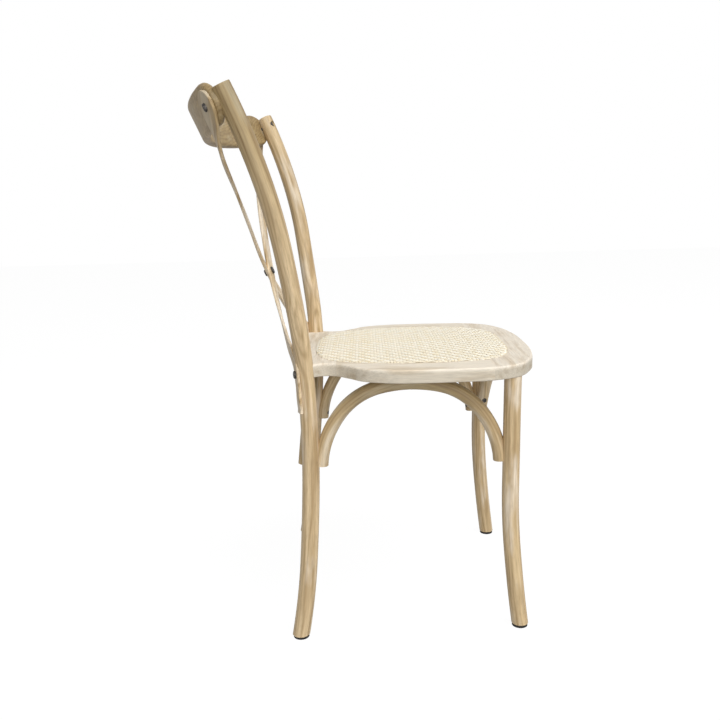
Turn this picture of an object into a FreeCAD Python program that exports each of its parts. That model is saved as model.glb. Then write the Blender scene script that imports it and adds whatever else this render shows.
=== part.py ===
import FreeCAD, Part
import math
import os
from FreeCAD import Vector

# Bentwood cross-back dining chair, in millimetres.
# The chair faces -Y, +Z is up, and the floor is at z = 0.
# Every piece is drawn about the middle of the four feet and is moved at the end,
# so that the origin lies on the floor under the middle of the chair's outer box.

# Whole chair
post_top_height = 885.0
seat_height = 460.0
seat_thickness = 22.0
foot_spacing_deep = 374.6
overrun = 40.0
hole_clearance = 0.2
cope_clearance = 0.05

# Rear posts: bent round rods from the floor to the top rail
post_radius = 14.5
post_edge_round = 1.5
post_straight_top = 8.0
post_foot_half_spread = 205.0
post_seat_half_spread = 157.0
post_top_half_spread = 243.0
post_seat_set_forward = 21.0
post_top_set_back = 68.5
# the left rear foot stands further back than the right one
left_foot_set_back = 20.0
# share of the seat's height, of the inward bend, of the forward set and of the left foot's set back
post_lower_shares = [(0.0, 0.0, 0.0, 1.0), (0.17, 0.21, 0.60, 1.0), (0.39, 0.45, 1.01, 1.0),
                     (0.69, 0.80, 1.25, 0.6), (1.0, 1.0, 1.0, 0.0)]
# share of the height above the seat, of the outward bend and of the lean to the rear
post_upper_shares = [(0.30, 0.27, 0.145), (0.62, 0.66, 0.395), (1.0, 1.0, 1.0)]

# Front legs: bent round rods from the floor into the seat
leg_radius = 14.0
leg_foot_half_spread = 184.0
leg_top_half_spread = 178.5
leg_kick = 18.5
# share of the leg's height, and of the kick at its foot that is left there
leg_shares = [(0.0, 1.0), (0.19, 0.47), (0.42, 0.03), (0.745, 0.0), (1.0, 0.07)]
tenon_radius = 9.5
tenon_length = 14.0

# Glides under the feet
glide_radius = 13.2
glide_height = 5.0
glide_nail_radius = 1.5
glide_nail_length = 16.0

# Seat frame: four shaped pieces, dowelled end to end
seat_half_width = 217.0
seat_front_reach = 223.0
seat_rear_reach = 183.0
ear_reach = 152.0
seat_top_round = 3.5
seat_bottom_round = 2.0
rear_joint_reach = 114.0
front_joint_reach = 136.0
# share of the half width, and of the front reach (negative) or the ears' reach
seat_front_shares = [(0.0, -1.0), (0.39, -0.982), (0.66, -0.925), (0.885, -0.79),
                     (0.967, -0.62), (0.995, -0.36), (1.0, -0.09)]
seat_rear_shares = [(0.977, 0.22), (0.912, 0.46), (0.793, 0.632), (0.712, 0.77),
                    (0.702, 0.885), (0.74, 1.0)]
rear_corner_half_width = 148.0
rear_corner_round = 9.0

# Woven panel and the frame that it is stretched over, let into the seat from above
panel_half_width = 165.0
panel_front_reach = 181.0
panel_rear_reach = 154.0
panel_front_shares = [(0.0, -1.0), (0.48, -0.983), (0.74, -0.917), (0.91, -0.745),
                      (0.985, -0.44), (1.0, -0.16)]
panel_rear_shares = [(0.97, 0.26), (0.897, 0.58), (0.757, 0.83), (0.48, 0.96), (0.0, 1.0)]
ledge_width = 16.0
rebate_depth = 12.0
seam_gap = 0.6
weave_thickness = 2.6
weave_edge_rise = 1.2
weave_crown = 4.0
weave_edge_round = 2.2
insert_bed_gap = 0.2
insert_frame_width = 32.0
insert_screw_inset = 9.0
insert_screw_radius = 1.75
insert_screw_length = 15.0
insert_screw_head_radius = 3.6
insert_screw_head_height = 2.0
# points of the panel's half outline, counted from the front, beside which a screw stands
insert_screw_places = (4, 7)

# Dowels in the seat frame's four joints
dowel_radius = 3.0
dowel_length = 30.0
dowel_spacing = 13.0
dowel_height = 6.0
rear_dowel_half_spread = 136.0
front_dowel_half_spread = 182.0

# Arches: bent rods between the legs, under the seat
arch_radius = 11.5
arch_flat = 1.5
side_arch_front_height = 295.0
side_arch_rear_height = 289.0
left_arch_drop = 13.0
side_arch_lap = 8.5
side_arch_set_in = 7.0
cross_arch_height = 288.0
cross_arch_lap = 6.5
front_arch_set_forward = 2.0
front_arch_lean = 19.0
rear_arch_set_back = 11.0
rear_arch_lean = 16.0
# share of the half span and of the rise
arch_shares = [(1.0, 0.0), (0.89, 0.44), (0.62, 0.81), (0.0, 1.0)]

# Screws through the arches into the legs and posts, and up into the seat
arch_screw_radius = 2.2
arch_screw_length = 28.0
arch_screw_head_radius = 4.6
arch_screw_head_height = 2.4
side_arch_screw_lift = 11.0
cross_arch_screw_lift = 20.0
arch_top_screw_length = 27.5

# Top rail: a bowed board with round ends on the rear of the posts
rail_half_length = 253.0
rail_thickness = 14.0
rail_end_height = 64.0
rail_bow = 65.3
rail_top_crown = 9.0
rail_bottom_rise = 12.5
rail_edge_round = 6.0
rail_below_post_top = 16.5
rail_housing = 6.0

# Cross slats: two bent strips, bolted together where they cross
slat_thickness = 5.0
slat_width = 27.0
slat_tab_width = 46.0
slat_corner_round = 1.6
slat_gap = 0.3
slat_housing = 3.4
slat_foot_below_seat = 80.0
slat_foot_width = 24.0
slat_bolt_below_seat = 16.0
# share of the way from the seat to the posts' tops
crossing_rise_share = 0.325
crossing_set_back = 68.5
# share of the tab's half width beyond its bolt, and of the tab's width there
slat_tab_shares = [(0.97, 0.24), (0.87, 0.50), (0.66, 0.76), (0.38, 0.93), (0.0, 1.0)]
# where a slat leaves the rail: share of the bolt's place and of the rail's height at its ends
slat_leave_shares = (0.963, 0.34)
# from the crossing: share of the way across, up and to the rear
slat_upper_shares = [(0.924, 0.83, 0.82), (0.39, 0.40, 0.48)]
slat_lower_shares = [(0.29, 0.30, 0.26), (0.61, 0.59, 0.57), (0.83, 0.76, 0.79),
                     (0.95, 0.89, 0.95)]
# share of a slat's width where it leaves the rail and next below
slat_spread_shares = (1.38, 1.04)
slat_section_step = 66.0
# share of the way down a slat's foot, from the seat's bolt
slat_foot_shares = (0.0, 0.25, 0.5, 0.75, 1.0)

# Bolts and nuts
bolt_radius = 3.0
bolt_head_radius = 6.5
bolt_head_height = 3.4
rail_bolt_set_in = 6.0
nut_radius = 6.2
nut_height = 3.4
nut_seat_depth = 0.4
head_round_share = 0.55
socket_radius = 2.2
socket_depth = 1.8
seat_bolt_grip = 18.0
seat_bolt_turn = math.radians(15.5)

# Heights and reaches that follow from the sizes above
seat_underside = seat_height - seat_thickness
slat_foot_height = seat_height - slat_foot_below_seat
slat_bolt_height = seat_height - slat_bolt_below_seat
slat_foot_run = slat_foot_below_seat - slat_bolt_below_seat
rebate_floor = seat_height - rebate_depth
foot_reach = foot_spacing_deep / 2
post_seat_reach = foot_reach - post_seat_set_forward
post_top_reach = foot_reach + post_top_set_back
post_bend_height = post_top_height - post_straight_top
insert_frame_top = seat_height + weave_edge_rise - weave_thickness - insert_bed_gap
crossing_reach = post_seat_reach + crossing_set_back
crossing_height = seat_height + (post_top_height - seat_height) * crossing_rise_share
rail_bolt_spot_depth = math.sqrt(post_radius ** 2 - (rail_bolt_set_in + bolt_head_radius) ** 2)
arch_spot_depth = math.sqrt(arch_radius ** 2 - arch_screw_head_radius ** 2)

# Below this a turn counts as none
flat_enough = 1e-7
# Two lengths that differ by less than this count as alike
straight_enough = 0.01

ALONG_X = Vector(1, 0, 0)
ALONG_Y = Vector(0, 1, 0)
UP = Vector(0, 0, 1)


def unit(v):
    """The direction of a vector, at length one."""
    return Vector(v).normalize()


def onward(way, chord):
    """The direction in which an arc leaves a chord that it enters in the given direction."""
    return unit(chord * (2 * way.dot(chord) / chord.dot(chord)) - way)


def arc_or_line(start, way, end, way_side):
    """An arc from start to end, or a line, with the given direction at its start (or end)."""
    near, far = (start, end) if way_side == "start" else (end, start)
    chord = far - near
    across = way - unit(chord) * way.dot(unit(chord))
    if across.Length < flat_enough:
        return Part.LineSegment(start, end).toShape()
    half_angle = math.acos(max(-1, min(1, way.dot(unit(chord))))) / 2
    bend = near + chord / 2 + unit(across) * (chord.Length / 2 * math.tan(half_angle))
    return Part.Arc(start, bend, end).toShape()


def two_arcs(start, start_way, end, end_way):
    """Two arcs that meet smoothly and join two points with the given directions."""
    chord = end - start
    both = start_way + end_way
    open_share = 2 * (1 - start_way.dot(end_way))
    if open_share < flat_enough:
        reach = chord.dot(chord) / (4 * chord.dot(end_way))
    else:
        root = math.sqrt(chord.dot(both) ** 2 + open_share * chord.dot(chord))
        reach = (root - chord.dot(both)) / open_share
    middle = (start + start_way * reach + end - end_way * reach) / 2
    return [arc_or_line(start, start_way, middle, "start"),
            arc_or_line(middle, end_way * -1, end, "end")]


def ways_through(points, first=None, last=None):
    """The direction at each point, from the circle through it and its neighbours."""
    ways = []
    for before, here, after in zip(points, points[1:], points[2:]):
        came, goes = here - before, after - here
        ways.append(unit(came * (goes.Length / came.Length) + goes * (came.Length / goes.Length)))
    begin = first or onward(ways[0], points[1] - points[0])
    finish = last or onward(ways[-1], points[-1] - points[-2])
    return [begin] + ways + [finish]


def smooth_path(points, first=None, last=None):
    """Arcs that run smoothly through the points."""
    ways = ways_through(points, first, last)
    edges = []
    for i in range(len(points) - 1):
        edges += two_arcs(points[i], ways[i], points[i + 1], ways[i + 1])
    return edges


def place_at_height(edges, height):
    """The point and the direction of a rising path at a height."""
    edge = next(e for e in edges if e.valueAt(e.LastParameter).z >= height)
    low, high = edge.FirstParameter, edge.LastParameter
    while high - low > flat_enough * edge.LastParameter:
        middle = (low + high) / 2
        if edge.valueAt(middle).z < height:
            low = middle
        else:
            high = middle
    return edge.valueAt(low), edge.tangentAt(low)


def place_at_share(edges, share):
    """The point and the direction at a share of the length of a path."""
    reach = share * sum(edge.Length for edge in edges)
    for edge in edges:
        if reach <= edge.Length:
            break
        reach -= edge.Length
    place = edge.getParameterByLength(min(reach, edge.Length))
    return edge.valueAt(place), edge.tangentAt(place)


def rod(edges, radius):
    """A round rod along a path."""
    start = edges[0].FirstParameter
    ring = Part.Circle(edges[0].valueAt(start), edges[0].tangentAt(start), radius).toShape()
    return Part.Wire(edges).makePipeShell([Part.Wire(ring)], True, False)


def cylinder(radius, length, start, way):
    """A round bar from a start point along a direction."""
    return Part.makeCylinder(radius, length, start, way)


def block(low, high):
    """A box between two corners."""
    size = high - low
    return Part.makeBox(size.x, size.y, size.z, low)


def mirrored(shape):
    """The same shape on the other side of the chair."""
    return shape.mirror(Vector(0, 0, 0), ALONG_X)


def moved_points(points, inset):
    """Outline points moved inwards, square to the outline, on a half outline along +X."""
    full = [Vector(-p.x, p.y, p.z) for p in reversed(points[1:2])] + points
    full += [Vector(-p.x, p.y, p.z) for p in reversed(points[-2:-1])]
    moved = []
    for way, here in zip(ways_through(full)[1:-1], points):
        moved.append(here + Vector(-way.y, way.x, 0) * inset)
    return moved


def half_outline(half_width, front_reach, rear_reach, front_shares, rear_shares):
    """The points of half an outline, from the front's middle round by +X to the rear."""
    points = [Vector(half_width * u, front_reach * v, 0) for u, v in front_shares]
    return points + [Vector(half_width * u, rear_reach * v, 0) for u, v in rear_shares]


def closed_face(right):
    """A face inside a half outline along +X and its mirror image."""
    left = [mirrored(edge) for edge in right]
    return Part.Face(Part.Wire(Part.__sortEdges__(right + left)))


def plate(points, low, high):
    """A level plate with a smooth outline, between two heights."""
    raised = [Vector(p.x, p.y, low) for p in points]
    return closed_face(smooth_path(raised, ALONG_X, ALONG_X * -1)).extrude(UP * (high - low))


def rounded(shape, radius, keep):
    """The shape with the chosen edges rounded."""
    return shape.makeFillet(radius, [edge for edge in shape.Edges if keep(edge)])


def fastener(seat, way, shank_radius, shank_length, head_radius, head_height):
    """A screw or bolt: round head on its seat, with a socket, and the shank along the way."""
    head = cylinder(head_radius, head_height, seat, way * -1)
    outer = seat - way * head_height
    head = rounded(head, head_height * head_round_share,
                   lambda edge: (edge.CenterOfMass - outer).Length < head_height / 2)
    whole = head.fuse(cylinder(shank_radius, shank_length, seat, way))
    return whole.cut(cylinder(socket_radius, socket_depth, outer, way))


def nut(seat, way, height, bore_length):
    """A round nut on its seat, domed outside, with a blind bore for the bolt."""
    body = cylinder(nut_radius, height, seat, way)
    outer = seat + way * height
    body = rounded(body, nut_height * head_round_share,
                   lambda edge: (edge.CenterOfMass - outer).Length < nut_height / 2)
    return body.cut(cylinder(bolt_radius, bore_length, seat, way))


# Rear posts and front legs
def post_path(side):
    """The centre line of a rear post, from below the floor to its top."""
    points = []
    set_back = left_foot_set_back if side > 0 else 0
    for up_share, in_share, forward_share, back_share in post_lower_shares:
        spread = post_foot_half_spread + (post_seat_half_spread - post_foot_half_spread) * in_share
        reach = foot_reach + set_back * back_share - post_seat_set_forward * forward_share
        points.append(Vector(side * spread, reach, seat_height * up_share))
    for up_share, out_share, back_share in post_upper_shares:
        spread = post_seat_half_spread + (post_top_half_spread - post_seat_half_spread) * out_share
        reach = post_seat_reach + (post_top_reach - post_seat_reach) * back_share
        height = seat_height + (post_bend_height - seat_height) * up_share
        points.append(Vector(side * spread, reach, height))
    way = ways_through(points)[-1]
    top = points[-1] + way * (post_straight_top / way.z)
    return extended_down(points) + [Part.LineSegment(points[-1], top).toShape()]


def leg_path(side):
    """The centre line of a front leg, from below the floor to above the seat's underside."""
    points = []
    for up_share, kick_share in leg_shares:
        spread = leg_foot_half_spread + (leg_top_half_spread - leg_foot_half_spread) * up_share
        reach = foot_reach - leg_kick + leg_kick * kick_share
        points.append(Vector(side * spread, -reach, seat_underside * up_share))
    above = points[-1] + ways_through(points)[-1] * overrun
    return extended_down(points) + [Part.LineSegment(points[-1], above).toShape()]


def extended_down(points):
    """Arcs through the points, with a straight run added below the floor."""
    below = points[0] - ways_through(points)[0] * overrun
    return [Part.LineSegment(below, points[0]).toShape()] + smooth_path(points)


def level_block(low, high):
    """A block wider than the chair, between two heights."""
    corner = Vector(-post_top_height, -post_top_height, low)
    return block(corner, Vector(post_top_height, post_top_height, high))


def make_post(side):
    """A rear post, level at its foot, cut square and rounded at its top."""
    post = rod(post_path(side), post_radius)
    post = post.cut(level_block(-2 * overrun, glide_height))
    return rounded(post, post_edge_round,
                   lambda edge: edge.CenterOfMass.z > post_top_height - post_radius)


def make_leg(side):
    """A front leg, level at both ends, with a round tenon."""
    path = leg_path(side)
    leg = rod(path, leg_radius)
    leg = leg.cut(level_block(-2 * overrun, glide_height))
    leg = leg.cut(level_block(seat_underside, seat_height + overrun))
    top = place_at_height(path, seat_underside)[0]
    return leg.fuse(cylinder(tenon_radius, tenon_length, top, UP))


def make_glide(path):
    """A glide under a foot: a disc with a nail."""
    foot = place_at_height(path, glide_height)[0]
    disc = cylinder(glide_radius, glide_height, foot - UP * glide_height, UP)
    return disc.fuse(cylinder(glide_nail_radius, glide_nail_length, foot, UP))


# Top rail, in a frame that leans with the posts
post_at_rail, rail_lean_way = place_at_height(post_path(1), post_top_height - rail_below_post_top)
rail_up = unit(Vector(0, rail_lean_way.y, rail_lean_way.z))
rail_back = Vector(0, rail_up.z, -rail_up.y)
rail_middle = Vector(0, post_at_rail.y, post_at_rail.z)
rail_end_turn = math.atan2(2 * rail_bow, post_at_rail.x)
rail_seat_depth = (post_radius - rail_housing) / math.cos(rail_end_turn)
rail_front_radius = (post_at_rail.x ** 2 + rail_bow ** 2) / (2 * rail_bow)
rail_rear_radius = rail_front_radius + rail_thickness
rail_bow_centre = rail_middle + rail_back * (rail_seat_depth + rail_bow - rail_front_radius)
rail_nut_sink = nut_radius * math.tan(rail_end_turn) + nut_seat_depth
rail_bolt_reach = post_at_rail.x - rail_bolt_set_in


def rail_outline():
    """The rail's outline seen square on, from its top's middle round by +X."""
    half_height = rail_end_height / 2
    shoulder = rail_half_length - half_height
    level_share = 1 - (shoulder / rail_half_length) ** 2
    top = rail_middle + rail_up * (half_height + rail_top_crown)
    top_end = rail_middle + ALONG_X * shoulder + rail_up * (half_height + rail_top_crown * level_share)
    tip = rail_middle + ALONG_X * rail_half_length
    low = rail_middle + rail_up * (rail_bottom_rise - half_height)
    low_end = rail_middle + ALONG_X * shoulder + rail_up * (rail_bottom_rise * level_share - half_height)
    top_way = onward(ALONG_X, top_end - top)
    low_way = onward(ALONG_X, low_end - low) * -1
    down = rail_up * -1
    edges = [arc_or_line(top, ALONG_X, top_end, "start")]
    edges += two_arcs(top_end, top_way, tip, down) + two_arcs(tip, down, low_end, low_way)
    return edges + [arc_or_line(low_end, low_way, low, "start")]


def bow_point(turn, radius):
    """A point of the bow, below the rail, at a turn from its middle."""
    low = rail_bow_centre - rail_up * rail_end_height
    return low + ALONG_X * (radius * math.sin(turn)) + rail_back * (radius * math.cos(turn))


def make_rail():
    """The bowed board, rounded along all its edges."""
    turn = math.asin((rail_half_length + rail_thickness) / rail_front_radius)
    front = [bow_point(way, rail_front_radius) for way in (-turn, 0, turn)]
    rear = [bow_point(way, rail_rear_radius) for way in (turn, 0, -turn)]
    edges = [Part.Arc(*front).toShape(), Part.LineSegment(front[-1], rear[0]).toShape(),
             Part.Arc(*rear).toShape(), Part.LineSegment(rear[-1], front[0]).toShape()]
    bowed = Part.Face(Part.Wire(edges)).extrude(rail_up * (2 * rail_end_height))
    reach = rail_back * rail_half_length
    board = closed_face(rail_outline()).translated(reach * -1).extrude(reach * 2)
    return rounded(bowed.common(board), rail_edge_round, lambda edge: not is_straight(edge))


def is_straight(edge):
    """Whether an edge is as long as the distance between its ends."""
    ends = [vertex.Point for vertex in edge.Vertexes]
    return edge.Length - (ends[-1] - ends[0]).Length < straight_enough


# Cross slats
def rail_rear_at(x, out_by):
    """A point off the rail's rear face at the bolts' height, and the way out of the face."""
    turn = math.asin(x / rail_rear_radius)
    out = ALONG_X * math.sin(turn) + rail_back * math.cos(turn)
    return rail_bow_centre + out * (rail_rear_radius + out_by), out


def seat_bolt_way(side):
    """The way in which a seat bolt points out of a post, to the rear and outwards."""
    return Vector(side * math.sin(seat_bolt_turn), math.cos(seat_bolt_turn), 0)


def slat_section(middle, along, out, width):
    """A strip's section with round corners, square to its run."""
    across = unit(out.cross(along))
    face = unit(along.cross(across))
    half_w, half_t = width / 2 - slat_corner_round, slat_thickness / 2 - slat_corner_round
    turn = slat_corner_round * math.sqrt(1 / 2)
    corners = []
    for i, (u, v) in enumerate([(1, 1), (-1, 1), (-1, -1), (1, -1)]):
        corner = middle + across * (half_w * u) + face * (half_t * v)
        to_side = corner + across * (slat_corner_round * u)
        to_face = corner + face * (slat_corner_round * v)
        bend = corner + across * (turn * u) + face * (turn * v)
        first, last = (to_side, to_face) if i % 2 == 0 else (to_face, to_side)
        corners.append((first, bend, last))
    edges = []
    for this, following in zip(corners, corners[1:] + corners[:1]):
        edges.append(Part.Arc(*this).toShape())
        edges.append(Part.LineSegment(this[2], following[0]).toShape())
    return Part.Wire(edges)


def between(start, end, shares):
    """A point between two others, by its share of the way along X, Z and Y."""
    across, up, back = shares
    run = end - start
    return start + Vector(run.x * across, run.y * back, run.z * up)


def slat_stations(side, layer):
    """Stations of a slat, from its tab to its foot: point, way out of its face, and width."""
    rise = slat_thickness / 2
    bolt, bolt_out = rail_rear_at(side * rail_bolt_reach, rise)
    leave, leave_out = rail_rear_at(side * rail_bolt_reach * slat_leave_shares[0], rise)
    leave = leave - rail_up * (rail_end_height * slat_leave_shares[1])
    crossing = Vector(0, crossing_reach, crossing_height) + rail_back * layer
    path = post_path(-side)
    foot_out = seat_bolt_way(-side)
    stand_off = foot_out * (post_radius - slat_housing + rise)
    seat_bolt, *foot = [place_at_height(path, slat_bolt_height - slat_foot_run * share)[0] + stand_off
                        for share in slat_foot_shares]
    tab_way = bolt - leave
    tab_way = unit(tab_way - bolt_out * tab_way.dot(bolt_out))
    stations = []
    for beyond_share, width_share in slat_tab_shares:
        point = bolt + tab_way * (slat_tab_width / 2 * beyond_share)
        stations.append((point, bolt_out, slat_tab_width * width_share))
    stations.append((leave, leave_out, slat_width * slat_spread_shares[0]))
    first, second = [between(crossing, bolt, shares) for shares in slat_upper_shares]
    stations.append((first, unit(leave_out + rail_back), slat_width * slat_spread_shares[1]))
    stations += [(second, rail_back, slat_width), (crossing, rail_back, slat_width)]
    for shares in slat_lower_shares:
        out = unit(rail_back * (1 - shares[0]) + foot_out * shares[0])
        stations.append((between(crossing, seat_bolt, shares), out, slat_width))
    return stations + [(point, foot_out, slat_foot_width) for point in [seat_bolt] + foot]


def make_slat(side, layer):
    """A bent strip from one end of the rail, over the crossing, to the other post."""
    stations = slat_stations(side, layer)
    foot_way = place_at_height(post_path(-side), slat_foot_height)[1] * -1
    arcs = smooth_path([point for point, out, width in stations], last=foot_way)
    sections = []
    for i, ((start, out, width), (end, next_out, next_width)) in enumerate(zip(stations, stations[1:])):
        run = arcs[2 * i:2 * i + 2]
        steps = math.ceil((end - start).Length / slat_section_step)
        for share in [step / steps for step in range(steps)]:
            point, way = place_at_share(run, share)
            sections.append(slat_section(point, way, unit(out * (1 - share) + next_out * share),
                                         width * (1 - share) + next_width * share))
    point, way = place_at_share(arcs, 1)
    sections.append(slat_section(point, way, next_out, next_width))
    return Part.makeLoft(sections, True, False)


# Seat frame
seat_points = half_outline(seat_half_width, seat_front_reach, ear_reach,
                           seat_front_shares, seat_rear_shares)
panel_points = half_outline(panel_half_width, panel_front_reach, panel_rear_reach,
                            panel_front_shares, panel_rear_shares)


def round_rims(board, seam_reach):
    """The board rounded along its top and bottom rims, but not along its seam."""
    for height, radius in ((seat_height, seat_top_round), (seat_underside, seat_bottom_round)):
        board = rounded(board, radius, lambda edge: is_rim(edge, height, seam_reach))
    return board


def is_rim(edge, height, seam_reach):
    """Whether an edge lies level at a height and is not the seam."""
    level = all(abs(vertex.Z - height) < straight_enough for vertex in edge.Vertexes)
    on_seam = all(abs(vertex.Y - seam_reach) < straight_enough for vertex in edge.Vertexes)
    return level and not on_seam


def make_seat_board():
    """The whole seat board with its round rims, before the opening and the joints are cut."""
    raised = [Vector(p.x, p.y, seat_underside) for p in seat_points]
    rear_middle = Vector(0, ear_reach, seat_underside)
    right = smooth_path(raised, ALONG_X) + [Part.LineSegment(raised[-1], rear_middle).toShape()]
    board = round_rims(closed_face(right).extrude(UP * seat_thickness), ear_reach)
    inner_reach = ear_reach - 2 * seat_top_round
    tongue = block(Vector(-rear_corner_half_width, inner_reach, seat_underside),
                   Vector(rear_corner_half_width, seat_rear_reach, seat_height))
    tongue = rounded(tongue, rear_corner_round, lambda edge: is_rear_corner(edge))
    return board.fuse(round_rims(tongue, inner_reach))


def is_rear_corner(edge):
    """Whether an edge stands upright at the rear of the seat."""
    ends = [vertex.Point for vertex in edge.Vertexes]
    return all(abs(end.y - seat_rear_reach) < straight_enough for end in ends) and ends[0].x == ends[1].x


def make_seat_pieces():
    """The front rail, the rear rail and the side rails at +X and -X, with the opening cut."""
    board = make_seat_board()
    board = board.cut(plate(moved_points(panel_points, -seam_gap), rebate_floor, seat_height + overrun))
    board = board.cut(plate(moved_points(panel_points, ledge_width),
                            seat_underside - overrun, seat_height))
    far = post_top_height
    low, high = seat_underside - overrun, seat_height + overrun
    front = board.common(block(Vector(-far, -far, low), Vector(far, -front_joint_reach, high)))
    rear = board.common(block(Vector(-far, rear_joint_reach, low), Vector(far, far, high)))
    left = board.common(block(Vector(0, -front_joint_reach, low), Vector(far, rear_joint_reach, high)))
    return front, rear, left, mirrored(left)


def seat_dowel_starts():
    """Where each of the eight dowels begins; all run to the rear."""
    starts = []
    for reach, spread in ((rear_joint_reach, rear_dowel_half_spread),
                          (-front_joint_reach, front_dowel_half_spread)):
        for side in (1, -1):
            for shift in (dowel_spacing / 2, -dowel_spacing / 2):
                starts.append(Vector(side * (spread + shift), reach - dowel_length / 2,
                                     seat_underside + dowel_height))
    return starts


# Woven panel and its frame
def make_insert_frame():
    """The wooden ring that carries the woven panel."""
    outer = moved_points(panel_points, weave_thickness + insert_bed_gap)
    inner = moved_points(panel_points, weave_thickness + insert_bed_gap + insert_frame_width)
    low = rebate_floor + insert_bed_gap
    return plate(outer, low, insert_frame_top).cut(plate(inner, low - overrun, seat_height + overrun))


def weave_dome(drop):
    """A ball whose top is the panel's domed top, lowered by a drop."""
    middle = Vector(0, (panel_rear_reach - panel_front_reach) / 2, 0)
    reach = max((point - middle).Length for point in panel_points)
    radius = (reach ** 2 + weave_crown ** 2) / (2 * weave_crown)
    top = seat_height + weave_edge_rise + weave_crown - drop
    return Part.makeSphere(radius, middle + UP * (top - radius))


def make_panel():
    """The woven panel: a domed sheet with a skirt that hides the insert frame's sides."""
    low = rebate_floor + insert_bed_gap
    high = seat_height + overrun
    cap = plate(panel_points, low, high).common(weave_dome(0))
    cap = rounded(cap, weave_edge_round, lambda edge: edge.BoundBox.ZMin > rebate_floor + rebate_depth / 2)
    inner = moved_points(panel_points, weave_thickness)
    return cap.cut(plate(inner, low - overrun, high).common(weave_dome(weave_thickness)))


def insert_screw_seats():
    """Where the heads of the four insert screws sit, under the ledge."""
    line = moved_points(panel_points, insert_screw_inset)
    return [Vector(side * line[place].x, line[place].y, seat_underside)
            for place in insert_screw_places for side in (1, -1)]


# Arches
def arch_points(start, end, lean):
    """The points of an arch's centre line, between its two ends; its top leans along Y."""
    middle = (start + end) / 2
    half = (end - start) / 2
    rise = UP * (seat_underside + arch_flat - arch_radius - middle.z) + ALONG_Y * lean
    rising = [middle - half * u + rise * v for u, v in arch_shares]
    falling = [middle + half * u + rise * v for u, v in reversed(arch_shares[:-1])]
    return rising + falling


def side_arch_ends(side):
    """The lower ends of a side arch, at the front leg and at the rear post, and its lean."""
    drop = left_arch_drop if side > 0 else 0
    leg = place_at_height(leg_path(side), side_arch_front_height - drop)[0]
    post = place_at_height(post_path(side), side_arch_rear_height - drop)[0]
    inward = ALONG_X * -side * side_arch_set_in
    return (leg + inward + ALONG_Y * (leg_radius + arch_radius - side_arch_lap),
            post + inward - ALONG_Y * (post_radius + arch_radius - side_arch_lap), 0)


def cross_arch_ends(paths, radius, shift, lean):
    """The lower ends of the front or rear arch, set in from its two legs, and its lean."""
    left, right = [place_at_height(path, cross_arch_height)[0] for path in paths]
    inward = ALONG_X * (radius + arch_radius - cross_arch_lap)
    return left - inward + ALONG_Y * shift, right + inward + ALONG_Y * shift, lean


def make_arch(ends):
    """A bent rod along an arch, planed flat where it bears on the seat."""
    arch = rod(smooth_path(arch_points(*ends)), arch_radius)
    return arch.cut(level_block(seat_underside, seat_height + overrun))


def arch_end_screw(ends, legs, lift, sink, index):
    """The seat and the way of the screw near one end of an arch, sunk into its flat."""
    points = arch_points(*ends)
    path = smooth_path(points if index == 0 else points[::-1])
    near = place_at_height(path, ends[index].z + lift)[0]
    leg = place_at_height(legs[index], ends[index].z + lift)[0]
    way = unit(leg - near)
    return near - way * (arch_spot_depth - sink), way


def arch_top_screw_seat(ends):
    """The seat of the screw that goes up through the middle of an arch."""
    middle = (ends[0] + ends[1]) / 2 + ALONG_Y * ends[2]
    flat = seat_underside + arch_flat - arch_radius - arch_spot_depth
    return Vector(middle.x, middle.y, flat + arch_screw_head_height)


def largest(shape):
    """The largest solid of a shape, without the slivers that a cut leaves beside it."""
    return max(shape.Solids, key=lambda solid: solid.Volume)


def coped(shape, legs):
    """The shape with the hollows in which it bears on round legs."""
    for leg in legs:
        shape = shape.cut(leg)
    return shape


def bored(shape, bores):
    """The shape with round bores cut: each has a radius, length, start and way."""
    for radius, length, start, way in bores:
        shape = shape.cut(cylinder(radius + hole_clearance, length, start, way))
    return shape


def screw_bores(seat, way, shank_radius, shank_length, head_radius):
    """The bore for a screw's shank, and the flat seat for its head."""
    return [(shank_radius, shank_length + hole_clearance, seat, way),
            (head_radius, overrun, seat, way * -1)]


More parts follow.
